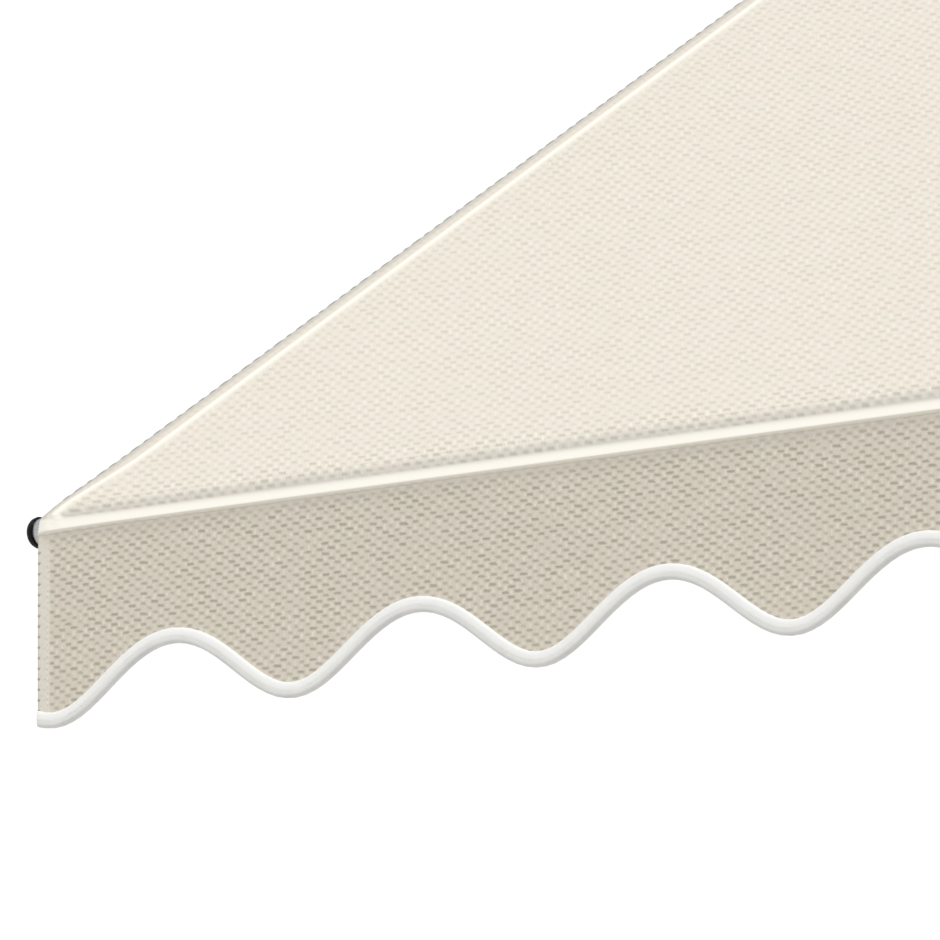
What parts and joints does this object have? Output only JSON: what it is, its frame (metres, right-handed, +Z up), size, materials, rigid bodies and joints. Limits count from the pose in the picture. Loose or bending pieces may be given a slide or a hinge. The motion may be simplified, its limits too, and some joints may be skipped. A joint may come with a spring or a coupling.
{
  "type": "folding-arm awning",
  "caption": "Wall-hung folding-arm awning with a cream cloth on a roller, a round front tube and a wavy bound valance.",
  "frame": {"origin": "on the wall plane, midway along the awning, level with the axis of the square bar", "axes": "+Z up, +Y into the wall, X along the wall; the awning reaches out along -Y"},
  "size_m": [2.4613, 1.5419, 1.0934],
  "materials": {
    "cloth": "woven awning cloth, cream",
    "binding": "smooth white binding tape",
    "aluminium": "satin",
    "paint": "light grey powder coat",
    "black": "black, satin",
    "zinc": "zinc plate",
    "steel": "bright steel",
    "brass": "cast brass"
  },
  "bodies": {
    "frame": {"torsion_bar": "paint", "roller_bush": "black", "gear_housing": "paint", "gear_cover": "paint", "canopy": "cloth", "left_bar_plug": "black", "left_wall_bracket": "paint", "left_bar_clamp": "paint", "left_clamp_bolt_outer": "zinc", "left_clamp_bolt_inner": "zinc", "left_roller_support": "paint", "left_shoulder_bracket": "paint", "left_set_screw": "zinc", "left_shoulder_pin": "zinc", "right_bar_plug": "black", "right_wall_bracket": "paint", "right_bar_clamp": "paint", "right_clamp_bolt_outer": "zinc", "right_clamp_bolt_inner": "zinc", "right_roller_support": "paint", "right_shoulder_bracket": "paint", "right_set_screw": "zinc", "right_shoulder_pin": "zinc"},
    "left_upper_arm": {"left_shoulder_knuckle": "paint", "left_upper_arm_tube": "aluminium", "left_arm_spring": "steel", "left_elbow_fork": "paint", "left_elbow_pin": "zinc", "left_elbow_cable": "steel"},
    "left_forearm": {"left_elbow_tongue": "paint", "left_forearm_tube": "aluminium", "left_front_knuckle": "paint"},
    "front_bar": {"front_tube": "aluminium", "fabric_pocket": "cloth", "valance": "cloth", "valance_binding": "binding", "left_end_cap": "black", "left_front_bracket": "paint", "left_front_pin": "zinc", "right_end_cap": "black", "right_front_bracket": "paint", "right_front_pin": "zinc"},
    "right_upper_arm": {"right_shoulder_knuckle": "paint", "right_upper_arm_tube": "aluminium", "right_arm_spring": "steel", "right_elbow_fork": "paint", "right_elbow_pin": "zinc", "right_elbow_cable": "steel"},
    "right_forearm": {"right_elbow_tongue": "paint", "right_forearm_tube": "aluminium", "right_front_knuckle": "paint"},
    "roller": {"roller_tube": "zinc", "left_roller_plug": "black", "right_roller_plug": "black", "worm_wheel": "brass", "fabric_roll": "cloth"},
    "crank": {"worm_shaft": "steel"}
  },
  "joints": [
    {"name": "left_shoulder", "type": "hinge", "parent": "frame", "child": "left_upper_arm", "pos_m": [-1.06, -0.15168, 0.00358], "axis": [0, -0.5225, 0.8526], "range_deg": [0, 72], "deforming": ["canopy"]},
    {"name": "left_elbow", "type": "hinge", "parent": "left_upper_arm", "child": "left_forearm", "pos_m": [-0.86646, -0.81353, -0.402], "axis": [0, -0.5225, 0.8526], "range_deg": [-144, 0], "deforming": ["left_elbow_cable", "left_arm_spring"]},
    {"name": "left_front_pivot", "type": "hinge", "parent": "left_forearm", "child": "front_bar", "pos_m": [-1.06, -1.47538, -0.80758], "axis": [0, -0.5225, 0.8526], "range_deg": [0, 72]},
    {"name": "right_shoulder", "type": "hinge", "parent": "frame", "child": "right_upper_arm", "pos_m": [1.06, -0.15168, 0.00358], "axis": [0, -0.5225, 0.8526], "range_deg": [-72, 0]},
    {"name": "right_elbow", "type": "hinge", "parent": "right_upper_arm", "child": "right_forearm", "pos_m": [0.86646, -0.81353, -0.402], "axis": [0, -0.5225, 0.8526], "range_deg": [0, 144], "deforming": ["right_elbow_cable", "right_arm_spring"]},
    {"name": "roller_spin", "type": "hinge", "parent": "frame", "child": "roller", "pos_m": [0, -0.09127, 0.07344], "axis": [1, 0, 0], "range_deg": [-2350, 0]},
    {"name": "crank_spin", "type": "hinge", "parent": "frame", "child": "crank", "pos_m": [1.2223, -0.11727, 0.07344], "axis": [0, 0, 1], "range_deg": [0, 25800]}
  ],
  "couplings": [
    {"joint": "left_elbow", "follows": "left_shoulder", "ratio": -2},
    {"joint": "left_front_pivot", "follows": "left_shoulder", "ratio": 1},
    {"joint": "right_shoulder", "follows": "left_shoulder", "ratio": -1},
    {"joint": "right_elbow", "follows": "left_shoulder", "ratio": 2},
    {"joint": "roller_spin", "follows": "left_shoulder", "ratio": -32.5},
    {"joint": "crank_spin", "follows": "left_shoulder", "ratio": 357.5}
  ]
}
